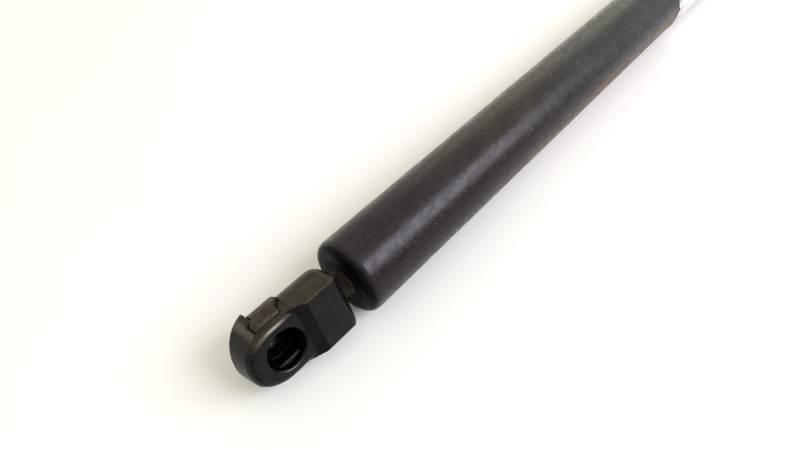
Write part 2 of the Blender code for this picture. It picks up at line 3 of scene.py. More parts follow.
import bmesh
import bpy
from mathutils import Euler, Matrix, Vector, noise


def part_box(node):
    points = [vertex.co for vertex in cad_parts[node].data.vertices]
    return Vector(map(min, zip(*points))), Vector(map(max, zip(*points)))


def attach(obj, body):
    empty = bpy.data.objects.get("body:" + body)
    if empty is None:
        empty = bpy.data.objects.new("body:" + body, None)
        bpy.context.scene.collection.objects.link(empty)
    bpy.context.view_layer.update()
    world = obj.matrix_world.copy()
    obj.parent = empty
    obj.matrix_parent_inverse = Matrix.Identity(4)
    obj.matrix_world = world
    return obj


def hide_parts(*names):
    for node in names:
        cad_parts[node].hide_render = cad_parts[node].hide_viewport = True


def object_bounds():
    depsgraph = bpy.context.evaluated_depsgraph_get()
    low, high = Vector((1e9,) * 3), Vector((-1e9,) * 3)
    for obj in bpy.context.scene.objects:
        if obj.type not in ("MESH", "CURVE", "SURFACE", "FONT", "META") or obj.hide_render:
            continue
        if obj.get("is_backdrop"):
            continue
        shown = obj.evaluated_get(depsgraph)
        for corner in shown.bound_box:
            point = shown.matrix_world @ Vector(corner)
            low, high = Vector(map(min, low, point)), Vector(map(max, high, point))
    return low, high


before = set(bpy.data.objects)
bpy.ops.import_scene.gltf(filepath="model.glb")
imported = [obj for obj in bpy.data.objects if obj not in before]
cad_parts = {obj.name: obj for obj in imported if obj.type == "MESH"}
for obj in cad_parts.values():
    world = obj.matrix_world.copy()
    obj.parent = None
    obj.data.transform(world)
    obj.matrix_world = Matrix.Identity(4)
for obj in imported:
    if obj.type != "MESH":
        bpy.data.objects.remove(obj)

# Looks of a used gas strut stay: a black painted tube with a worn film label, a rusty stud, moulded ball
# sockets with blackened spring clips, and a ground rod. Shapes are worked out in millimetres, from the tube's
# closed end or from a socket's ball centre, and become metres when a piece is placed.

FRAME_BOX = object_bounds()
MM = 0.001

# Sizes that the frame gives, and the way from the tube's closed end to its ball centre.
TUBE_LOW, TUBE_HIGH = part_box("pressure_tube")
ROD_LOW, ROD_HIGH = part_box("piston_rod")
LABEL_LOW, LABEL_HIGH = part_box("rating_label")
TUBE_LENGTH = (TUBE_HIGH.x - TUBE_LOW.x) / MM
TUBE_RADIUS = (TUBE_HIGH.z - TUBE_LOW.z) / 2 / MM
AXIS_START = Vector((TUBE_LOW.x, 0.0, (TUBE_HIGH.z + TUBE_LOW.z) / 2))
TUBE_TO_BALL = 22.4
BALL_X = -(AXIS_START.x - TUBE_TO_BALL * MM)  # the origin is midway between the two ball centres

# Sizes of the tube and what closes it.
GAP = 0.3
TUBE_WALL = 1.5
RIM_ROUNDING = 2.7
SHOULDER_LENGTH = 1.4  # the plug and the guide are eased where the rim is rolled over them
SHOULDER_DEPTH = 1.2
CHAMFER = 0.4
PLUG_RIM_RADIUS = 6.8
PLUG_RIM_GAP = 0.04
PLUG_FACE_DEPTH = 0.05
PLUG_ROUNDING = 0.06
PLUG_LENGTH = 8.0
GUIDE_RIM_RADIUS = 7.6
GUIDE_LENGTH = 12.0
GUIDE_NOSE_ROUNDING = 0.3
GUIDE_BORE_ROUNDING = 0.2
BEAD_FROM_ROD_END = 22.6
BEAD_DEPTH = 0.9
BEAD_HALF_WIDTH = 2.0
LINER_RADIUS = 6.0
WIPER_RECESS = 0.5
WIPER_LENGTH = 2.1
WIPER_ROUNDING = 0.4
LIP_CLEARANCE = 0.1
LIP_UNDERCUT = 0.4
LIP_OUTLINE = ((0.25, 0.35), (0.05, 0.12), (0.1, 0.0), (0.5, 0.0))  # in from the face, out from the lip

# Sizes of the rod and of the threads.
ROD_RADIUS = 5.0
ROD_END_ROUNDING = 0.6
ROD_SHOULDER_FROM_ROD_END = 25.0
ROD_TAIL_RADIUS = 3.0
THREAD_RADIUS = 3.85
THREAD_DEPTH = 0.62
THREAD_PITCH = 1.25
THREAD_STOP = 0.2
THREAD_RUN_OUT = 0.8
STUD_INNER_END = 0.9

# Sizes of the label, whose long edges are at angles from the top of the tube towards -Y.
LABEL_FIRST_ANGLE = math.radians(17.0)
LABEL_LAST_ANGLE = math.radians(129.0)
TEAR_SETBACK = 0.4
FILM_OFF_TUBE = 0.05
FILM_THICKNESS = 0.05
MOST_LIFT = 0.10

# Sizes of an end fitting, along the strut, across it, and out the way its socket opens.
SOCKET_ROLL = math.radians(67.0)
HALF_WIDTH = 8.25
HEAD_RADIUS = 10.6
RIM_RADIUS = 10.0
HEAD_END_START = -1.0
HEAD_END_LENGTH = 9.45
HEAD_ROUNDING = 2.1
HEAD_SHORT_OF_NECK_END = 8.0
RIM_OUTSET = 0.1
RIM_FOOT_HEIGHT = -0.2  # where the rim meets the ball-shaped back
RIM_FOOT_OUTSET = 0.32
FACE_HEIGHT = 4.9
NECK_HEIGHT = 6.4
NECK_END = 19.3
NECK_END_ROUNDING = 3.1
NECK_EDGE_ROUNDING = 0.9
NECK_OVERLAP = 3.0
STEP_START = 5.7
STEP_END = 8.9
STEP_REACH = 6.0
BORE_START = 8.5
BALL_CAVITY = 5.1
MOUTH_CHAMFER = 0.45
VOXEL = 0.14
SOFTENING_PASSES = 9
KEPT_FACES = 0.35
INSET = 0.02  # keeps apart faces that would coincide in a Boolean
MARGIN = 1.0  # of a cutter past what it cuts
FAR = 13.0

# Sizes of a safety clip.
CLIP_THICKNESS = 0.75
CLIP_RADIUS = 8.725
CLIP_BEND = 0.9
CLIP_LEG_HEIGHT = 2.275
CLIP_TIP = 4.4
CLIP_LEG_HALF_WIDTH = 3.5
CLIP_BAND_START = -1.6
CLIP_BAND_END = 5.7
CLIP_SHIFT_START = 0.9
CLIP_SHIFT_END = -1.5
CLIP_TRAVEL = 3.0
CLIP_GAP = 0.15
CLIP_EDGE_ROUNDING = 0.13

# Facets round turned pieces.
SEGMENTS = 128
TUBE_SEGMENTS = 192
CAVITY_SEGMENTS = 96
PLUG_SEGMENTS = 96
STUD_SEGMENTS = 72

# Colours of the strut, in linear light.
PAINT = (0.0090, 0.0052, 0.0105)
PAINT_FURTHER_ALONG = (0.0070, 0.0130, 0.0175)
# The closed end's face, darker: painted shade.
PAINT_END_FACE_SHADE = (0.0030, 0.0025, 0.0030)
# Worn paint's tan, which is partly a painted reflection of the white table low on the -Y side.
PAINT_WEAR_AND_TABLE_REFLECTION = (0.115, 0.075, 0.038)
PAINT_SPECKS = (0.38, 0.37, 0.36)
PAINT_SHEEN = (0.93, 0.90, 1.0, 1.0)
# Dust on top of the tube; its warm tint is partly a painted warm reflection.
PAINT_DUST_AND_WARM_REFLECTION = (0.0260, 0.0225, 0.0190)
PAINT_DUST_FURTHER_ALONG = (0.0240, 0.0340, 0.0430)
PLUG_PAINT = (0.0028, 0.0024, 0.0026)
PLUG_DUST = (0.0080, 0.0062, 0.0050)
STUD_STEEL = (0.009, 0.0062, 0.0055)
STUD_RUST = (0.022, 0.0138, 0.0100)
STUD_BLOOMS = (0.22, 0.14, 0.09)
NYLON_DARK = (0.0038, 0.0036, 0.0046)
NYLON_LIGHT = (0.0074, 0.0068, 0.0074)
# Dust on the sockets' upper sides; its olive tint is partly a painted warm reflection.
NYLON_DUST_AND_WARM_REFLECTION = (0.034, 0.029, 0.019)
NYLON_SPECKS = (0.14, 0.11, 0.085)
# Painted shade inside the ball's cavity.
NYLON_CAVITY_SHADE = (0.0022, 0.0019, 0.0018)
SPRING_DARK = (0.024, 0.021, 0.016)
SPRING_LIGHT = (0.052, 0.047, 0.040)
SPRING_RUST = (0.085, 0.040, 0.022)
# Painted shade on the clip where it lies within the socket.
SPRING_SOCKET_SHADE = (0.0060, 0.0052, 0.0045)
SPRING_BRIGHT = (0.50, 0.48, 0.46)
FILM_WHITE = (0.72, 0.73, 0.75)
FILM_DIRTY = (0.60, 0.60, 0.59)
FILM_SCUFFED = (0.30, 0.30, 0.31)
ROD_LIGHT = (0.40, 0.41, 0.42)
ROD_DARK = (0.35, 0.35, 0.35)

# Looks of plain pieces: two colours, metallic, roughness, the size of their patches and the relief's depth.
PLAIN_LOOKS = {
    "guide_plastic_black": ((0.020, 0.020, 0.021), (0.034, 0.033, 0.032), 0.0, 0.45, 1.5, 0.02),
    "wiper_rubber": ((0.012, 0.012, 0.012), (0.025, 0.024, 0.023), 0.0, 0.62, 1.0, 0.02),
    "inner_rubber": ((0.012, 0.012, 0.012), (0.022, 0.022, 0.022), 0.0, 0.6, 1.2, 0.02),
    "stop_rubber": ((0.055, 0.022, 0.020), (0.035, 0.015, 0.014), 0.0, 0.6, 1.5, 0.02),
    "plated_steel": ((0.55, 0.55, 0.53), (0.42, 0.42, 0.41), 1.0, 0.28, 1.0, 0.01),
    "liner_bronze": ((0.46, 0.32, 0.17), (0.34, 0.22, 0.11), 1.0, 0.32, 1.5, 0.01),
    "piston_alloy": ((0.55, 0.56, 0.57), (0.44, 0.45, 0.46), 1.0, 0.30, 0.8, 0.01),
    "ring_ptfe": ((0.11, 0.10, 0.09), (0.075, 0.070, 0.062), 0.0, 0.5, 1.0, 0.01),
}

# The plain looks of the pieces inside the tube.
INNER_PIECES = {
    "end_plug_o_ring": "inner_rubber",
    "rod_seal": "inner_rubber",
    "guide_liner": "liner_bronze",
    "seal_backing_washer": "plated_steel",
    "extension_stop_ring": "stop_rubber",
    "piston_support_disc": "plated_steel",
    "piston_body": "piston_alloy",
    "piston_ring": "ring_ptfe",
    "piston_labyrinth_disc": "plated_steel",
    "piston_nut": "plated_steel",
}

# The studio, measured in metres from the tube's closed end.
CAMERA_WAY = Vector((-0.0516, -0.0639, 0.1229))
CAMERA_HEADING = math.radians(41.07)  # from +X towards +Y
CAMERA_TILT = math.radians(51.07)  # below the horizon
CAMERA_LENS = 26.1
CAMERA_CLIP_START = 0.005
WINDOW_WAY = Vector((0.50, -0.62, 0.68))
WINDOW_SIZE = (0.85, 0.55)
WINDOW_POWER = 9.2
WINDOW_COLOUR = (0.93, 0.90, 1.0)
DOORWAY_WAY = Vector((1.3, 0.9, 0.60))
DOORWAY_SIZE = (1.2, 0.6)
DOORWAY_POWER = 2.0
DOORWAY_COLOUR = (1.0, 0.88, 0.66)
SKY_COLOUR = (1.0, 0.945, 0.78, 1.0)
SKY_STRENGTH = 0.84
FLOOR_HALF_WIDTH = 4.0
FLOOR_TONES = ((0.875, 0.888, 0.910), (0.892, 0.903, 0.922))


# ---- Mesh helpers ----


def arc(centre, radius, start, end, steps):
    """Points on an arc between two angles in degrees, ends included."""
    angles = [math.radians(start + (end - start) * step / steps) for step in range(steps + 1)]
    return [(centre[0] + radius * math.cos(a), centre[1] + radius * math.sin(a)) for a in angles]


def add_object(name, mesh):
    """An object for a mesh, in the scene."""
    obj = bpy.data.objects.new(name, mesh)
    bpy.context.scene.collection.objects.link(obj)
    return obj


def mesh_from(name, work):
    """The mesh of a bmesh whose faces look outwards."""
    bmesh.ops.recalc_face_normals(work, faces=work.faces)
    mesh = bpy.data.meshes.new(name)
    work.to_mesh(mesh)
    work.free()
    return mesh


def lathe(name, profile, axis="X", closed=False, segments=SEGMENTS):
    """Turns (height, radius) points about an axis; a closed profile joins its last point to its first."""
    work = bmesh.new()
    rings = []
    for height, radius in profile:
        steps = segments if radius > 0 else 1
        ring = []
        for step in range(steps):
            angle = 2 * math.pi * step / steps
            u, v = radius * math.cos(angle), radius * math.sin(angle)
            ring.append(work.verts.new((height, u, v) if axis == "X" else (u, v, height)))
        rings.append(ring)
    pairs = list(zip(rings, rings[1:]))
    if closed:
        pairs.append((rings[-1], rings[0]))
    for first, second in pairs:
        for step in range(segments):
            corners = [
                first[step % len(first)],
                first[(step + 1) % len(first)],
                second[(step + 1) % len(second)],
                second[step % len(second)],
            ]
            work.faces.new(list(dict.fromkeys(corners)))
    return mesh_from(name, work)


def prism(points, low, high, put):
    """A bmesh of a flat outline, extruded from low to high; put turns (u, v, depth) into a point."""
    work = bmesh.new()
    ends = [[work.verts.new(put(u, v, depth)) for u, v in points] for depth in (low, high)]
    work.faces.new(ends[0])
    work.faces.new(ends[1])
    for step in range(len(points)):
        after = (step + 1) % len(points)
        work.faces.new((ends[0][step], ends[0][after], ends[1][after], ends[1][step]))
    bmesh.ops.recalc_face_normals(work, faces=work.faces)
    return work


def round_edges(work, chosen, radius, segments=6):
    """Rounds the edges that the test picks by their two ends."""
    edges = [edge for edge in work.edges if chosen(*(vertex.co for vertex in edge.verts))]
    bmesh.ops.bevel(work, geom=edges, offset=radius, segments=segments, profile=0.5, affect="EDGES")


def box_mesh(name, low, high):
    """A box between two corners."""
    outline = [(low[0], low[1]), (high[0], low[1]), (high[0], high[1]), (low[0], high[1])]
    return mesh_from(name, prism(outline, low[2], high[2], lambda u, v, w: (u, v, w)))


def combine(obj, mesh, operation):
    """Cuts, joins or intersects the object with a mesh."""
    other = add_object(mesh.name, mesh)
    boolean = obj.modifiers.new(mesh.name, "BOOLEAN")
    boolean.operation = operation
    boolean.solver = "EXACT"
    boolean.object = other
    return other


def bake(obj, helpers=()):
    """Makes the object's modifiers its mesh and removes the helpers."""
    bpy.context.view_layer.update()
    evaluated = obj.evaluated_get(bpy.context.evaluated_depsgraph_get())
    mesh = bpy.data.meshes.new_from_object(evaluated)
    mesh.name = obj.name
    for helper in (obj, *helpers):
        bpy.data.objects.remove(helper)
    return mesh


def turned(mesh, rotation):
    """A copy of a mesh, turned about its origin, so that its object needs no turning."""
    copy = mesh.copy()
    copy.transform(Euler(rotation).to_matrix().to_4x4())
    return copy


def place(name, mesh, body, material, location=AXIS_START, sharp=40.0):
    """Puts a mesh in millimetres into the row frame as a shown piece of a body."""
    mesh.transform(Matrix.Scale(MM, 4))
    mesh.shade_smooth()
    mesh.set_sharp_from_angle(angle=math.radians(sharp))
    mesh.materials.append(material)
    obj = add_object(name, mesh)
    obj.location = location
    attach(obj, body)
    return obj


# ---- Material helpers ----


def add(tree, kind, settings=None, inputs=None):
    """A node with these settings; an input that is given a socket is linked to it."""
    node = tree.nodes.new(kind)
    for name, value in (settings or {}).items():
        setattr(node, name, value)
    for name, value in (inputs or {}).items():
        if isinstance(value, bpy.types.NodeSocket):
            tree.links.new(value, node.inputs[name])
        else:
            node.inputs[name].default_value = value
    return node


def new_material(name):
    """A material's tree, its Principled shader, and its place on the piece in metres."""
    material = bpy.data.materials.new(name)
    material.use_nodes = True
    tree = material.node_tree
    coordinates = add(tree, "ShaderNodeTexCoord").outputs
    return material, tree, tree.nodes["Principled BSDF"], coordinates["Object"]


def grain(tree, where, size, detail=3.0, roughness=0.5, stretch=(1.0, 1.0, 1.0)):
    """Noise whose features are about this many millimetres wide, stretched along an axis by a factor."""
    scale = tuple(1.0 / (size * MM * factor) for factor in stretch)
    mapping = add(tree, "ShaderNodeMapping", inputs={"Vector": where, "Scale": scale})
    texture = add(
        tree,
        "ShaderNodeTexNoise",
        inputs={"Vector": mapping.outputs["Vector"], "Scale": 1.0, "Detail": detail, "Roughness": roughness},
    )
    return texture.outputs["Fac"]


def distance(tree, where):
    """How far this is from the piece's own origin, in metres."""
    return add(tree, "ShaderNodeVectorMath", {"operation": "LENGTH"}, {0: where}).outputs["Value"]


def facing(tree, axis):
    """How far the surface faces along one of the piece's axes, from -1 to 1."""
    normal = add(tree, "ShaderNodeTexCoord").outputs["Normal"]
    return add(tree, "ShaderNodeSeparateXYZ", inputs={"Vector": normal}).outputs[axis]


def upward(tree, low, high):
    """How far the surface faces up at rest: 0 below the first share of straight up, 1 above the second."""
    return ease(tree, facing(tree, "Z"), low, high)


def ease(tree, value, low, high, start=0.0, end=1.0):
    """A smooth change from start to end as the value goes from low to high."""
    node = add(
        tree,
        "ShaderNodeMapRange",
        {"interpolation_type": "SMOOTHSTEP"},
        {"Value": value, "From Min": low, "From Max": high, "To Min": start, "To Max": end},
    )
    return node.outputs["Result"]


def compute(tree, operation, first, second=0.0):
    """A number worked out from one or two others."""
    node = add(tree, "ShaderNodeMath", {"operation": operation}, {0: first, 1: second})
    return node.outputs["Value"]


def plus(tree, first, second):
    """The sum of two numbers."""
    return compute(tree, "ADD", first, second)


def minus(tree, first, second):
    """The first number less the second."""
    return compute(tree, "SUBTRACT", first, second)


def times(tree, first, second):
    """The product of two numbers."""
    return compute(tree, "MULTIPLY", first, second)


def blend(tree, share, first, second):
    """A colour between two others."""
    first = (*first, 1.0) if isinstance(first, tuple) else first
    second = (*second, 1.0) if isinstance(second, tuple) else second
    node = add(tree, "ShaderNodeMix", {"data_type": "RGBA"}, {0: share, 6: first, 7: second})
    return node.outputs[2]


def connect(tree, shader, values):
    """Sets or links the shader's inputs."""
    for name, value in values.items():
        if isinstance(value, bpy.types.NodeSocket):
            tree.links.new(value, shader.inputs[name])
        else:
            shader.inputs[name].default_value = value


def relief(tree, height, depth, below=None):
    """A bump of this depth in millimetres, over another bump if there is one."""
    inputs = {"Height": height, "Distance": depth * MM, "Strength": 1.0}
    if below is not None:
        inputs["Normal"] = below
    return add(tree, "ShaderNodeBump", inputs=inputs).outputs["Normal"]


def length_along(tree, where):
    """The metres along the strut from the piece's own origin."""
    return add(tree, "ShaderNodeSeparateXYZ", inputs={"Vector": where}).outputs["X"]


def angle_round(tree, where):
    """The degrees round the strut's axis, from the top towards -Y."""
    parts = add(tree, "ShaderNodeSeparateXYZ", inputs={"Vector": where}).outputs
    turn = compute(tree, "ARCTAN2", times(tree, parts["Y"], -1.0), parts["Z"])
    return compute(tree, "DEGREES", turn)


# ---- Materials ----

# Limits on noise, and on how a surface faces, are shares. Places are in metres from the piece's own origin,
# and sizes of grain and depths of relief are in millimetres.


def tube_paint():
    """Semi-gloss black paint, scuffed: dusty on top and worn brown low on the -Y side, each partly a painted
    reflection; bluish further along.
    """
    material, tree, shader, where = new_material("tube_paint_worn")
    angle = angle_round(tree, where)
    along = length_along(tree, where)
    cloud = grain(tree, where, 9.0, 4.0)
    fine = grain(tree, where, 0.5, 2.0)
    scuffs = ease(tree, grain(tree, where, 1.6, 5.0, 0.6, (1.6, 1.0, 1.0)), 0.36, 0.64)
    specks = ease(tree, grain(tree, where, 0.40, 1.0), 0.72, 0.78)
    on_top = times(tree, ease(tree, angle, 75.0, 45.0), ease(tree, cloud, 0.40, 0.60))
    # Worn paint low on the -Y side, growing further along; its tan also paints the table's reflection there.
    low_side = times(tree, ease(tree, angle, 62.0, 100.0), ease(tree, along, 0.03, 0.12))
    wear_and_reflection = times(tree, low_side, ease(tree, grain(tree, where, 2.5, 4.0), 0.30, 0.6))
    # Dust settled on top; its warm tint also stands in for a warm reflection there, a painted reflection.
    upper_side = times(tree, upward(tree, 0.45, 0.95), ease(tree, along, 0.0, 0.09, 0.25, 1.0))
    dust_and_warm_reflection = times(tree, upper_side, ease(tree, cloud, 0.30, 0.75, 0.6, 1.0))
    bluish = times(tree, ease(tree, along, 0.06, 0.15), ease(tree, cloud, 0.35, 0.65, 0.5, 1.0))
    # Painted shade: the closed end's face is darker and its reflections dimmer, as in the socket's shadow.
    shaded_end_face = ease(tree, along, 0.0022, 0.0004)
    colour = blend(tree, bluish, PAINT, PAINT_FURTHER_ALONG)
    dust = blend(tree, bluish, PAINT_DUST_AND_WARM_REFLECTION, PAINT_DUST_FURTHER_ALONG)
    colour = blend(tree, dust_and_warm_reflection, colour, dust)
    colour = blend(tree, wear_and_reflection, colour, PAINT_WEAR_AND_TABLE_REFLECTION)
    colour = blend(tree, times(tree, specks, on_top), colour, PAINT_SPECKS)
    colour = blend(tree, shaded_end_face, colour, PAINT_END_FACE_SHADE)
    satin = ease(tree, scuffs, 0.0, 1.0, 0.22, 0.37)
    satin = plus(tree, satin, ease(tree, fine, 0.3, 0.7, -0.03, 0.05))
    satin = plus(tree, satin, times(tree, wear_and_reflection, 0.15))
    # Reflections are turned down low on the -Y side as painted shade, and further where the paint is worn.
    gloss = times(tree, ease(tree, angle, 42.0, 60.0, 0.34, 0.24), ease(tree, wear_and_reflection, 0.0, 1.0, 1.0, 0.6))
    gloss = times(tree, gloss, ease(tree, shaded_end_face, 0.0, 1.0, 1.0, 0.15))
    peel = relief(tree, grain(tree, where, 1.4, 2.0), 0.030)
    grit = relief(tree, fine, 0.020, peel)
    streaks = relief(tree, grain(tree, where, 0.25, 3.0, stretch=(40.0, 1.0, 1.0)), 0.003, grit)
    connect(
        tree,
        shader,
        {
            "Base Color": colour,
            "Roughness": satin,
            "Specular IOR Level": gloss,
            "Specular Tint": PAINT_SHEEN,
            "Normal": streaks,
        },
    )
    return material


def plug_paint():
    """The same paint on the plug's face, matt with dust."""
    material, tree, shader, where = new_material("plug_paint")
    dust = ease(tree, grain(tree, where, 1.2, 4.0), 0.4, 0.7)
    connect(
        tree,
        shader,
        {
            "Base Color": blend(tree, dust, PLUG_PAINT, PLUG_DUST),
            "Roughness": ease(tree, dust, 0.0, 1.0, 0.5, 0.75),
            "Specular IOR Level": 0.1,
            "Normal": relief(tree, grain(tree, where, 0.6, 3.0), 0.03),
        },
    )
    return material


def rusty_stud():
    """Steel gone dark brown, with pits, small light blooms of rust and barer patches."""
    material, tree, shader, where = new_material("rusty_stud")
    patches = grain(tree, where, 1.0, 5.0, 0.6)
    blooms = ease(tree, grain(tree, where, 0.45, 4.0), 0.60, 0.72)
    bare = ease(tree, patches, 0.30, 0.42, 0.85, 0.15)
    colour = blend(tree, ease(tree, patches, 0.35, 0.6), STUD_STEEL, STUD_RUST)
    colour = blend(tree, blooms, colour, STUD_BLOOMS)
    connect(
        tree,
        shader,
        {
            "Base Color": colour,
            "Metallic": bare,
            "Roughness": ease(tree, patches, 0.3, 0.6, 0.35, 0.9),
            "Normal": relief(tree, grain(tree, where, 0.3, 5.0, 0.7), 0.07),
        },
    )
    return material


def socket_nylon():
    """Black glass-filled nylon: satin, olive with dust on top, partly a painted warm reflection, matt on its
    step, glossy beside the ball; painted shade in its cavity.
    """
    material, tree, shader, where = new_material("socket_nylon")
    cloud = grain(tree, where, 3.0, 4.0)
    fine = grain(tree, where, 0.22, 3.0)
    fibres = grain(tree, where, 0.12, 2.0, stretch=(6.0, 1.0, 1.0))
    specks = times(tree, ease(tree, grain(tree, where, 0.3, 1.0), 0.70, 0.75), 0.40)
    # Painted shade: within the ball's cavity the nylon is darker and its reflections dimmer.
    outside_painted_shade = ease(tree, distance(tree, where), 0.0066, 0.0079)
    along = length_along(tree, where)
    # Dust settled on the upper side; its olive tint also stands in for a warm reflection there, a painted
    # reflection.
    upper_side = times(tree, upward(tree, 0.55, 0.93), ease(tree, along, -0.0095, -0.0045, 0.15, 1.0))
    dust_and_warm_reflection = times(tree, upper_side, ease(tree, cloud, 0.30, 0.65, 0.45, 1.0))
    tilt = compute(tree, "ABSOLUTE", facing(tree, "X"))
    on_step = minus(tree, ease(tree, tilt, 0.30, 0.38), ease(tree, tilt, 0.48, 0.56))
    pointed = add(tree, "ShaderNodeNewGeometry").outputs["Pointiness"]
    rubbed = times(tree, ease(tree, pointed, 0.505, 0.54), ease(tree, cloud, 0.40, 0.55, 0.2, 1.0))
    colour = blend(tree, ease(tree, cloud, 0.35, 0.7), NYLON_DARK, NYLON_LIGHT)
    colour = blend(tree, dust_and_warm_reflection, colour, NYLON_DUST_AND_WARM_REFLECTION)
    colour = blend(tree, specks, colour, NYLON_SPECKS)
    colour = blend(tree, outside_painted_shade, NYLON_CAVITY_SHADE, colour)
    edge = minus(tree, upward(tree, 0.60, 0.74), upward(tree, 0.86, 0.915))
    beside_ball = minus(tree, ease(tree, along, -0.0065, -0.0040), ease(tree, along, 0.0000, 0.0040))
    polished = times(tree, edge, beside_ball)
    gloss = plus(tree, times(tree, rubbed, 0.18), 0.13)
    gloss = times(tree, gloss, ease(tree, on_step, 0.0, 1.0, 1.0, 0.40))
    gloss = plus(tree, times(tree, polished, 0.80), gloss)
    worn_smooth = plus(tree, times(tree, rubbed, 0.08), times(tree, polished, 0.08))
    satin = ease(tree, fine, 0.3, 0.7, 0.27, 0.38)
    skin = relief(tree, cloud, 0.05)
    skin = relief(tree, fibres, 0.010, skin)
    connect(
        tree,
        shader,
        {
            "Base Color": colour,
            "Roughness": minus(tree, satin, worn_smooth),
            "Specular IOR Level": times(tree, gloss, ease(tree, outside_painted_shade, 0.0, 1.0, 0.15, 1.0)),
            "Normal": relief(tree, fine, 0.015, skin),
        },
    )
    return material


def blackened_spring_steel():
    """Phosphated spring steel: nearly black, with rust specks and sheared edges that are rubbed bright, and
    painted shade where it lies within the socket.
    """
    material, tree, shader, where = new_material("spring_steel_blackened")
    cloud = grain(tree, where, 1.6, 4.0)
    rust = ease(tree, grain(tree, where, 0.5, 4.0, 0.65), 0.53, 0.64)
    satin = ease(tree, cloud, 0.3, 0.7, 0.54, 0.40)
    # Painted shade: within the socket the steel is darker, while its rubbed edges show more there.
    outside_painted_shade = ease(tree, distance(tree, where), 0.0055, 0.0075)
    pointed = add(tree, "ShaderNodeNewGeometry").outputs["Pointiness"]
    bright = times(tree, ease(tree, pointed, 0.53, 0.60), ease(tree, outside_painted_shade, 0.0, 1.0, 0.35, 0.10))
    colour = blend(tree, ease(tree, cloud, 0.4, 0.7), SPRING_DARK, SPRING_LIGHT)
    colour = blend(tree, rust, colour, SPRING_RUST)
    colour = blend(tree, outside_painted_shade, SPRING_SOCKET_SHADE, colour)
    connect(
        tree,
        shader,
        {
            "Base Color": blend(tree, bright, colour, SPRING_BRIGHT),
            "Metallic": compute(tree, "MAXIMUM", bright, ease(tree, rust, 0.0, 1.0, 0.6, 0.1)),
            "Roughness": plus(tree, satin, times(tree, rust, 0.35)),
            "Specular IOR Level": 0.30,
            "Normal": relief(tree, grain(tree, where, 0.25, 4.0), 0.02),
        },
    )
    return material


def label_film():
    """A silvery white film, finely creased, its printed face scuffed to grey towards the torn end."""
    material, tree, shader, where = new_material("label_film")
    along = length_along(tree, where)
    torn_end = ease(tree, along, 0.185, 0.170, 0.25, 1.0)
    scuffed = times(tree, ease(tree, grain(tree, where, 1.8, 5.0), 0.46, 0.60), torn_end)
    dirt = ease(tree, grain(tree, where, 6.0, 4.0), 0.40, 0.70)
    creases = grain(tree, where, 1.5, 3.0, stretch=(1.0, 2.5, 1.0))
    colour = blend(tree, dirt, FILM_WHITE, FILM_DIRTY)
    connect(
        tree,
        shader,
        {
            "Base Color": blend(tree, scuffed, colour, FILM_SCUFFED),
            "Metallic": 0.15,
            "Roughness": ease(tree, creases, 0.3, 0.7, 0.25, 0.42),
            "Normal": relief(tree, creases, 0.16),
        },
    )
    return material


def ground_steel():
    """The rod's ground and coated steel: fine rings of grinding marks under a thin, even film of oil."""
    material, tree, shader, where = new_material("rod_ground_steel")
    rings = grain(tree, where, 0.08, 2.0, stretch=(1.0, 60.0, 60.0))
    oil = grain(tree, where, 25.0, 2.0)
    connect(
        tree,
        shader,
        {
            "Base Color": blend(tree, ease(tree, oil, 0.35, 0.7), ROD_LIGHT, ROD_DARK),
            "Metallic": 1.0,
            "Roughness": ease(tree, oil, 0.3, 0.7, 0.18, 0.24),
            "Normal": relief(tree, rings, 0.002),
        },
    )
    return material


def plain(name):
    """One of the plain looks, with patches, uneven gloss and a fine relief."""
    light, dark, metallic, roughness, size, depth = PLAIN_LOOKS[name]
    material, tree, shader, where = new_material(name)
    patches = grain(tree, where, size, 4.0)
    connect(
        tree,
        shader,
        {
            "Base Color": blend(tree, ease(tree, patches, 0.35, 0.65), light, dark),
            "Metallic": metallic,
            "Roughness": ease(tree, patches, 0.3, 0.7, roughness, roughness + 0.15),
            "Normal": relief(tree, grain(tree, where, size / 6, 3.0), depth),
        },
    )
    return material


# ---- The tube and what closes it ----


def bead(radius):
    """The rolled bead's part of a wall at this radius, towards the rod end."""
    middle = TUBE_LENGTH - BEAD_FROM_ROD_END
    steps = 16
    wall = []
    for step in range(steps + 1):
        share = 2.0 * step / steps - 1.0
        depth = BEAD_DEPTH * (1 + math.cos(math.pi * share)) / 2
        wall.append((middle + share * BEAD_HALF_WIDTH, radius - depth))
    return wall


def tube_mesh():
    """The pressure tube with its rolled ends, its bead and its bore."""
    corner = TUBE_RADIUS - RIM_ROUNDING
    inner = RIM_ROUNDING - TUBE_WALL
    end = TUBE_LENGTH
    outside_painted_shade = [(RIM_ROUNDING - y, corner + x) for x, y in arc((0.0, 0.0), RIM_ROUNDING, 90.0, 0.0, 14)]
    profile = outside_painted_shade + bead(TUBE_RADIUS)
    profile += [(end - x, r) for x, r in reversed(outside_painted_shade)]
    profile += [(end, GUIDE_RIM_RADIUS), (end - TUBE_WALL, GUIDE_RIM_RADIUS)]
    bend = [(RIM_ROUNDING - y, corner + x) for x, y in arc((0.0, 0.0), inner, 90.0, 0.0, 6)]
    profile += [(end - x, r) for x, r in bend]
    profile += reversed(bead(TUBE_RADIUS - TUBE_WALL))
    profile += reversed(bend)
    profile += [(TUBE_WALL, PLUG_RIM_RADIUS), (0.0, PLUG_RIM_RADIUS)]
    return lathe("tube", profile, closed=True, segments=TUBE_SEGMENTS)


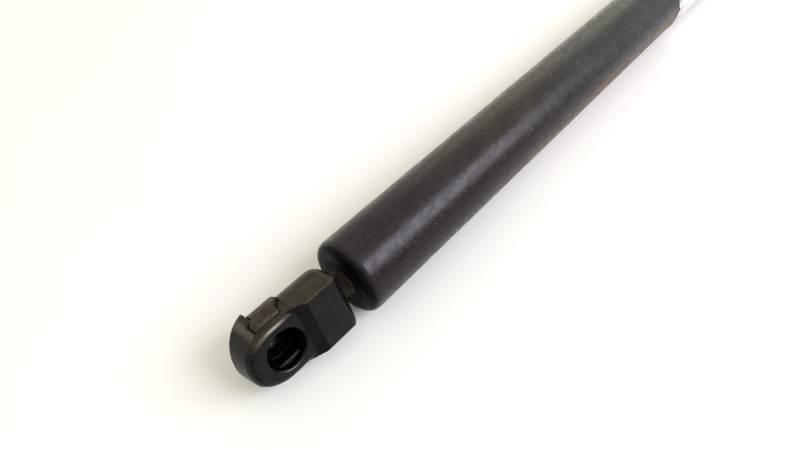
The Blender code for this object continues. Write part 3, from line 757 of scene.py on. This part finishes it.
def stud_mesh():
    """The stud, with its thread as a helix that runs out where the stud leaves the plug."""
    start = BORE_START - TUBE_TO_BALL + GAP
    length = STUD_INNER_END - start
    rings_per_turn = 8
    count = round(length / THREAD_PITCH * rings_per_turn)
    work = bmesh.new()
    rings = []
    for row in range(count + 1):
        along = start + length * row / count
        depth = THREAD_DEPTH * min(max((THREAD_STOP - along) / THREAD_RUN_OUT, 0.0), 1.0)
        ring = []
        for column in range(STUD_SEGMENTS):
            turn = column / STUD_SEGMENTS
            wave = abs(2.0 * ((along / THREAD_PITCH - turn) % 1.0) - 1.0)
            groove = min(max(1.25 * wave - 0.1, 0.0), 1.0)  # flat at the thread's crests and roots
            radius = THREAD_RADIUS - depth * groove
            angle = 2 * math.pi * turn
            ring.append(work.verts.new((along, radius * math.cos(angle), radius * math.sin(angle))))
        rings.append(ring)
    for first, second in zip(rings, rings[1:]):
        for column in range(STUD_SEGMENTS):
            after = (column + 1) % STUD_SEGMENTS
            work.faces.new((first[column], first[after], second[after], second[column]))
    work.faces.new(rings[0])
    work.faces.new(rings[-1])
    return mesh_from("stud", work)


def plug_mesh():
    """The end plug behind the stud, with a softened edge at its face and eased under the tube's rim."""
    radius = PLUG_RIM_RADIUS - PLUG_RIM_GAP
    back = TUBE_WALL + GAP
    body = TUBE_RADIUS - TUBE_WALL - GAP
    far = back + PLUG_LENGTH
    corner = (PLUG_FACE_DEPTH + PLUG_ROUNDING, radius - PLUG_ROUNDING)
    profile = [(PLUG_FACE_DEPTH, 0.0)] + arc(corner, PLUG_ROUNDING, 180.0, 90.0, 5)
    profile += [(back, radius), (back, body - SHOULDER_DEPTH), (back + SHOULDER_LENGTH, body)]
    profile += [(far - CHAMFER, body), (far, body - CHAMFER), (far, 0.0)]
    return lathe("plug", profile, segments=PLUG_SEGMENTS)


def guide_mesh():
    """The guide's housing, with a softened nose in the rolled rim and eased behind it."""
    nose = GUIDE_RIM_RADIUS - GAP
    top = TUBE_LENGTH - GAP
    back = TUBE_LENGTH - TUBE_WALL - GAP
    body = TUBE_RADIUS - TUBE_WALL - GAP
    low = back - GUIDE_LENGTH
    bore = LINER_RADIUS + GAP
    nose_corner = (top - GUIDE_NOSE_ROUNDING, nose - GUIDE_NOSE_ROUNDING)
    bore_corner = (top - GUIDE_BORE_ROUNDING, bore + GUIDE_BORE_ROUNDING)
    profile = [(low, bore), (low, body), (back - SHOULDER_LENGTH, body), (back, body - SHOULDER_DEPTH)]
    profile += [(back, nose)] + arc(nose_corner, GUIDE_NOSE_ROUNDING, 90.0, 0.0, 4)
    profile += arc(bore_corner, GUIDE_BORE_ROUNDING, 0.0, -90.0, 4)
    return lathe("guide", profile, closed=True)


def wiper_mesh():
    """The wiper's ring, its lip turned in to the rod."""
    high = TUBE_LENGTH - WIPER_RECESS
    low = high - WIPER_LENGTH
    lip = ROD_RADIUS + LIP_CLEARANCE
    profile = [(low, lip + LIP_UNDERCUT), (low, LINER_RADIUS)]
    profile += arc((high - WIPER_ROUNDING, LINER_RADIUS - WIPER_ROUNDING), WIPER_ROUNDING, 90.0, 0.0, 4)
    profile += [(high - inwards, lip + outwards) for inwards, outwards in LIP_OUTLINE]
    return lathe("wiper", profile, closed=True)


def rod_mesh():
    """The rod from its piston tail to the threaded end inside its fitting."""
    start = (ROD_LOW.x - AXIS_START.x) / MM
    end = (ROD_HIGH.x - AXIS_START.x) / MM
    shoulder = TUBE_LENGTH - ROD_SHOULDER_FROM_ROD_END
    full_end = (BALL_X - AXIS_START.x) / MM - NECK_END - GAP
    corner = (full_end - ROD_END_ROUNDING, ROD_RADIUS - ROD_END_ROUNDING)
    profile = [(start, 0.0), (start, ROD_TAIL_RADIUS - CHAMFER), (start + CHAMFER, ROD_TAIL_RADIUS)]
    profile += [(shoulder, ROD_TAIL_RADIUS), (shoulder, ROD_RADIUS - CHAMFER)]
    profile += [(shoulder + CHAMFER, ROD_RADIUS)]
    profile += arc(corner, ROD_END_ROUNDING, 90.0, 0.0, 6)
    profile += [(full_end, THREAD_RADIUS), (end - CHAMFER, THREAD_RADIUS)]
    profile += [(end, THREAD_RADIUS - CHAMFER), (end, 0.0)]
    return lathe("rod", profile)


# ---- The label ----


def tear_offset(angle):
    """How far along the tear wanders at this angle: a slow wave with coarse and fine raggedness."""
    coarse = noise.noise(Vector((angle * 9.0, 1.7, 0.0)))
    fine = noise.noise(Vector((angle * 34.0, 5.1, 0.0)))
    return 1.1 * math.sin(5.2 * angle + 0.9) + 1.5 * coarse + 0.9 * fine


def film_lift(along, angle):
    """How far the crumpled film lifts here: broad swells with narrow wrinkles, up to a limit."""
    swells = noise.noise(Vector((along * 0.55, angle * 6.0, 3.3)))
    wrinkles = noise.noise(Vector((along * 1.9, angle * 16.0, 8.2)))
    return min(max(0.045 + 0.07 * swells + 0.05 * wrinkles, 0.0), MOST_LIFT)


def label_mesh():
    """The film on the tube: torn across at one end, cut square at the other, and slightly crumpled."""
    torn = (LABEL_LOW.x - AXIS_START.x) / MM + TEAR_SETBACK
    end = (LABEL_HIGH.x - AXIS_START.x) / MM
    rows, columns = 90, 110
    work = bmesh.new()
    grid = []
    for row in range(rows + 1):
        angle = LABEL_FIRST_ANGLE + (LABEL_LAST_ANGLE - LABEL_FIRST_ANGLE) * row / rows
        tear = torn + tear_offset(angle)
        line = []
        for column in range(columns + 1):
            share = (column / columns) ** 1.6  # columns are closer together near the tear
            along = tear + (end - tear) * share
            radius = TUBE_RADIUS + FILM_OFF_TUBE + film_lift(along, angle)
            line.append(work.verts.new((along, -radius * math.sin(angle), radius * math.cos(angle))))
        grid.append(line)
    for low, high in zip(grid, grid[1:]):
        for column in range(columns):
            work.faces.new((low[column], low[column + 1], high[column + 1], high[column]))
    obj = add_object("label", mesh_from("label", work))
    film = obj.modifiers.new("film", "SOLIDIFY")
    film.thickness = FILM_THICKNESS
    film.offset = 0.0
    return bake(obj)


# ---- The end fittings ----


def from_front(u, v, depth):
    """(along, across) with the depth running out."""
    return (u, v, depth)


def from_section(u, v, depth):
    """(across, out) with the depth running along."""
    return (depth, u, v)


def from_side(u, v, depth):
    """(along, out) with the depth running across."""
    return (u, depth, v)


def head_mesh():
    """The head: a ball-backed disc whose sides are cut straight and whose face is rounded off all round."""
    top = FACE_HEIGHT + INSET
    corner = (RIM_RADIUS + RIM_OUTSET - HEAD_ROUNDING, top - HEAD_ROUNDING)
    rim = [(y, x) for x, y in arc(corner, HEAD_ROUNDING, 90.0, 0.0, 10)]
    foot = (RIM_FOOT_HEIGHT, RIM_RADIUS + RIM_FOOT_OUTSET)
    back = [(y, x) for x, y in arc((0.0, 0.0), HEAD_RADIUS, -10.0, -88.0, 40)]
    disc = add_object("disc", lathe("disc", [(top, 0.0), *rim, foot, *back, (-HEAD_RADIUS, 0.0)], "Z"))
    circle = arc((0.0, 0.0), 1.0, 90.0, 270.0, 48)
    outline = [(HEAD_END_START + x * HEAD_END_LENGTH, y * HALF_WIDTH) for x, y in circle]
    sides_end = NECK_END - HEAD_SHORT_OF_NECK_END
    outline += [(sides_end, -HALF_WIDTH), (sides_end, HALF_WIDTH)]
    plan = prism(outline, -FAR, FACE_HEIGHT, from_front)
    round_edges(plan, lambda a, b: min(a.z, b.z) > 0, HEAD_ROUNDING)
    helper = combine(disc, mesh_from("plan", plan), "INTERSECT")
    return bake(disc, [helper])


def neck_mesh():
    """The neck: flat front, straight sides, round back and end, and a slope down to the head's face."""
    start = STEP_START - NECK_OVERLAP
    half = HALF_WIDTH - INSET
    section = [(half, NECK_HEIGHT), (-half, NECK_HEIGHT)] + arc((0.0, 0.0), half, 180.0, 360.0, 40)
    work = prism(section, start, NECK_END, from_section)
    round_edges(work, lambda a, b: min(a.x, b.x) > NECK_END - INSET, NECK_END_ROUNDING, 8)
    neck = add_object("neck", mesh_from("neck", work))
    slope = (NECK_HEIGHT - FACE_HEIGHT) / (STEP_END - STEP_START)
    low = (STEP_START - STEP_REACH, FACE_HEIGHT - slope * STEP_REACH)
    high = (STEP_END + STEP_REACH, NECK_HEIGHT + slope * STEP_REACH)
    above = prism([low, high, (low[0], high[1])], -FAR, FAR, from_side)
    helpers = [combine(neck, mesh_from("above", above), "DIFFERENCE")]
    side = half - INSET / 2
    across = side - NECK_EDGE_ROUNDING
    top = NECK_HEIGHT - INSET / 2 - NECK_EDGE_ROUNDING
    outline = arc((across, top), NECK_EDGE_ROUNDING, 0.0, 90.0, 6)
    outline += arc((-across, top), NECK_EDGE_ROUNDING, 90.0, 180.0, 6)
    outline += [(-side, -FAR), (side, -FAR)]
    rounded = mesh_from("rounded", prism(outline, start - MARGIN, NECK_END + MARGIN, from_section))
    helpers.append(combine(neck, rounded, "INTERSECT"))
    return bake(neck, helpers)


def socket_cutters():
    """What is cut from a socket: the band's channel, the legs' way in, the ball's cavity, the stud's bore."""
    floor = CLIP_RADIUS - CLIP_THICKNESS / 2 - GAP
    leg_top = CLIP_LEG_HEIGHT + CLIP_THICKNESS / 2 + CLIP_GAP
    leg_low = CLIP_LEG_HEIGHT - CLIP_THICKNESS / 2 - CLIP_TRAVEL - GAP
    side = CLIP_LEG_HALF_WIDTH + CLIP_GAP
    outline = [(-FAR, leg_top), (-floor, leg_top)] + arc((0.0, 0.0), floor, 180.0, 360.0, 60)
    outline += [(floor, leg_top), (FAR, leg_top), (FAR, -FAR), (-FAR, -FAR)]
    channel = prism(outline, CLIP_BAND_START - CLIP_GAP, CLIP_BAND_END + CLIP_GAP, from_section)
    yield mesh_from("channel", channel)
    widened_low = CLIP_SHIFT_END - CLIP_TRAVEL - GAP
    for name, inner, outer in (("widened_right", -FAR, -floor), ("widened_left", floor, FAR)):
        yield box_mesh(name, (-side, inner, widened_low), (0.0, outer, leg_top))
    yield box_mesh("window", (-side, -FAR, leg_low), (side, FAR, leg_top))
    mouth = BALL_CAVITY + MOUTH_CHAMFER
    profile = [(FAR, 0.0), (FAR, mouth), (FACE_HEIGHT, mouth), (FACE_HEIGHT - MOUTH_CHAMFER, BALL_CAVITY)]
    profile += [(y, x) for x, y in arc((0.0, 0.0), BALL_CAVITY, 0.0, -88.0, 30)] + [(-BALL_CAVITY, 0.0)]
    yield lathe("cavity", profile, "Z", segments=CAVITY_SEGMENTS)
    bore = THREAD_RADIUS + GAP
    far = NECK_END + 3 * MARGIN
    profile = [(BORE_START, 0.0), (BORE_START, bore), (far, bore), (far, 0.0)]
    yield lathe("bore", profile, segments=STUD_SEGMENTS)


def socket_mesh():
    """A moulded ball socket about its ball's centre: its solids joined, cut, and softened like a moulding."""
    head = add_object("socket", head_mesh())
    helpers = [combine(head, neck_mesh(), "UNION")]
    helpers += [combine(head, cutter, "DIFFERENCE") for cutter in socket_cutters()]
    voxels = head.modifiers.new("voxels", "REMESH")
    voxels.mode = "VOXEL"
    voxels.voxel_size = VOXEL
    soft = head.modifiers.new("soft", "SMOOTH")
    soft.factor = 0.5
    soft.iterations = SOFTENING_PASSES
    fewer = head.modifiers.new("fewer", "DECIMATE")
    fewer.ratio = KEPT_FACES
    return bake(head, helpers)


def clip_path():
    """The clip's middle line as (across, out) points, from the tip of one leg round the back to the other."""
    turn = CLIP_RADIUS - CLIP_BEND
    leg = [(CLIP_TIP, CLIP_LEG_HEIGHT)]
    leg += arc((turn, CLIP_LEG_HEIGHT - CLIP_BEND), CLIP_BEND, 90.0, 0.0, 8)
    leg += [(CLIP_RADIUS, CLIP_SHIFT_START)]
    back = arc((0.0, 0.0), CLIP_RADIUS, 0.0, -180.0, 72)
    return leg + back + [(-across, out) for across, out in reversed(leg)]


def clip_mesh():
    """The safety clip: flat steel bent round the head's back, its sheared edges slightly rounded."""
    work = bmesh.new()
    rows = []
    for across, out in clip_path():
        share = min(max((CLIP_SHIFT_START - out) / (CLIP_SHIFT_START - CLIP_SHIFT_END), 0.0), 1.0)
        low = -CLIP_LEG_HALF_WIDTH + share * (CLIP_BAND_START + CLIP_LEG_HALF_WIDTH)
        high = CLIP_LEG_HALF_WIDTH + share * (CLIP_BAND_END - CLIP_LEG_HALF_WIDTH)
        rows.append([work.verts.new((along, across, out)) for along in (low, high)])
    for first, second in zip(rows, rows[1:]):
        work.faces.new((first[0], first[1], second[1], second[0]))
    obj = add_object("clip", mesh_from("clip", work))
    steel = obj.modifiers.new("steel", "SOLIDIFY")
    steel.thickness = CLIP_THICKNESS
    steel.offset = 0.0
    steel.use_even_offset = True
    edges = obj.modifiers.new("edges", "BEVEL")
    edges.width = CLIP_EDGE_ROUNDING
    edges.segments = 3
    edges.angle_limit = math.radians(50.0)
    return bake(obj)


# ---- The pieces ----


def build_barrel():
    """The tube, plug, stud, label, guide and wiper."""
    tube = place("tube", tube_mesh(), "barrel", tube_paint())
    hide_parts("pressure_tube")
    place("plug", plug_mesh(), "barrel", plug_paint())
    stud = place("stud", stud_mesh(), "barrel", rusty_stud(), sharp=60.0)
    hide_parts("end_plug")
    label = place("label", label_mesh(), "barrel", label_film())
    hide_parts("rating_label")
    guide = place("guide", guide_mesh(), "barrel", plain("guide_plastic_black"))
    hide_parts("guide_housing")
    wiper = place("wiper", wiper_mesh(), "barrel", plain("wiper_rubber"))
    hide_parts("wiper_ring")


def build_rod():
    """The rod itself; its piston stays as the frame has it."""
    rod = place("rod", rod_mesh(), "rod", ground_steel())
    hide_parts("piston_rod")


def build_fittings():
    """A socket and its clip at each end."""
    socket, clip = socket_mesh(), clip_mesh()
    nylon, steel = socket_nylon(), blackened_spring_steel()
    ends = {
        "tube": (-BALL_X, (SOCKET_ROLL, 0.0, 0.0), "barrel", "tube_clip"),
        "rod": (BALL_X, (-SOCKET_ROLL, 0.0, math.pi), "rod", "rod_clip"),
    }
    for end, (x, rotation, body, clip_body) in ends.items():
        centre = (x, 0.0, AXIS_START.z)
        mesh = turned(socket, rotation)
        part = place(f"{end}_socket", mesh, body, nylon, centre, sharp=180.0)
        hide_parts(f"{end}_fitting_body")
        mesh = turned(clip, rotation)
        part = place(f"{end}_clip_steel", mesh, clip_body, steel, centre)
        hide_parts(f"{end}_fitting_clip")


def finish_inner_nodes():
    """Materials for the pieces inside the tube, which are shown as the frame has them."""
    looks = {name: plain(name) for name in sorted(set(INNER_PIECES.values()))}
    for node, look in INNER_PIECES.items():
        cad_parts[node].data.materials[0] = looks[look]


# ---- The studio ----


def add_camera():
    """A close view down on the tube's closed end and its socket."""
    data = bpy.data.cameras.new("camera")
    data.lens = CAMERA_LENS
    data.clip_start = CAMERA_CLIP_START
    camera = bpy.data.objects.new("camera", data)
    bpy.context.scene.collection.objects.link(camera)
    camera.location = AXIS_START + CAMERA_WAY
    level = math.cos(CAMERA_TILT)
    ahead = level * math.cos(CAMERA_HEADING)
    aside = level * math.sin(CAMERA_HEADING)
    aim = Vector((ahead, aside, -math.sin(CAMERA_TILT)))
    camera.rotation_euler = aim.to_track_quat("-Z", "Y").to_euler()
    bpy.context.scene.camera = camera


def add_softbox(name, way, aim, size, power, colour):
    """A soft rectangular light, this way from the tube's closed end and shining along its aim."""
    data = bpy.data.lights.new(name, "AREA")
    data.shape = "RECTANGLE"
    data.size, data.size_y = size
    data.energy = power
    data.color = colour
    light = bpy.data.objects.new(name, data)
    bpy.context.scene.collection.objects.link(light)
    light.location = AXIS_START + way
    light.rotation_euler = aim.to_track_quat("-Z", "Y").to_euler()


def add_lights():
    """A cool window-like light beside the strut and a weak warm one past its far end."""
    square_on = Vector((0.0, -WINDOW_WAY.y, -WINDOW_WAY.z))
    add_softbox("window", WINDOW_WAY, square_on, WINDOW_SIZE, WINDOW_POWER, WINDOW_COLOUR)
    add_softbox("doorway", DOORWAY_WAY, -DOORWAY_WAY, DOORWAY_SIZE, DOORWAY_POWER, DOORWAY_COLOUR)


def table_white():
    """A matt white table top, very faintly clouded."""
    material, tree, shader, where = new_material("table_white")
    tone = blend(tree, ease(tree, grain(tree, where, 60.0), 0.3, 0.7), *FLOOR_TONES)
    connect(tree, shader, {"Base Color": tone, "Roughness": 0.55})
    return material


def add_table():
    """The white table under the strut."""
    work = bmesh.new()
    bmesh.ops.create_grid(work, x_segments=1, y_segments=1, size=FLOOR_HALF_WIDTH)
    floor = add_object("floor", mesh_from("floor", work))
    floor.data.materials.append(table_white())
    floor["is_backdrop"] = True


def add_sky():
    """A pale warm sky all round, and colours shown as they are."""
    world = bpy.data.worlds.new("surroundings")
    world.use_nodes = True
    sky = world.node_tree.nodes["Background"]
    sky.inputs["Color"].default_value = SKY_COLOUR
    sky.inputs["Strength"].default_value = SKY_STRENGTH
    bpy.context.scene.world = world
    bpy.context.scene.view_settings.view_transform = "Standard"


build_barrel()
build_rod()
build_fittings()
finish_inner_nodes()
add_camera()
add_table()
add_lights()
add_sky()

boxes = {"cad": FRAME_BOX, "visual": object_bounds()}
{name: [list(corner) for corner in box] for name, box in boxes.items()}
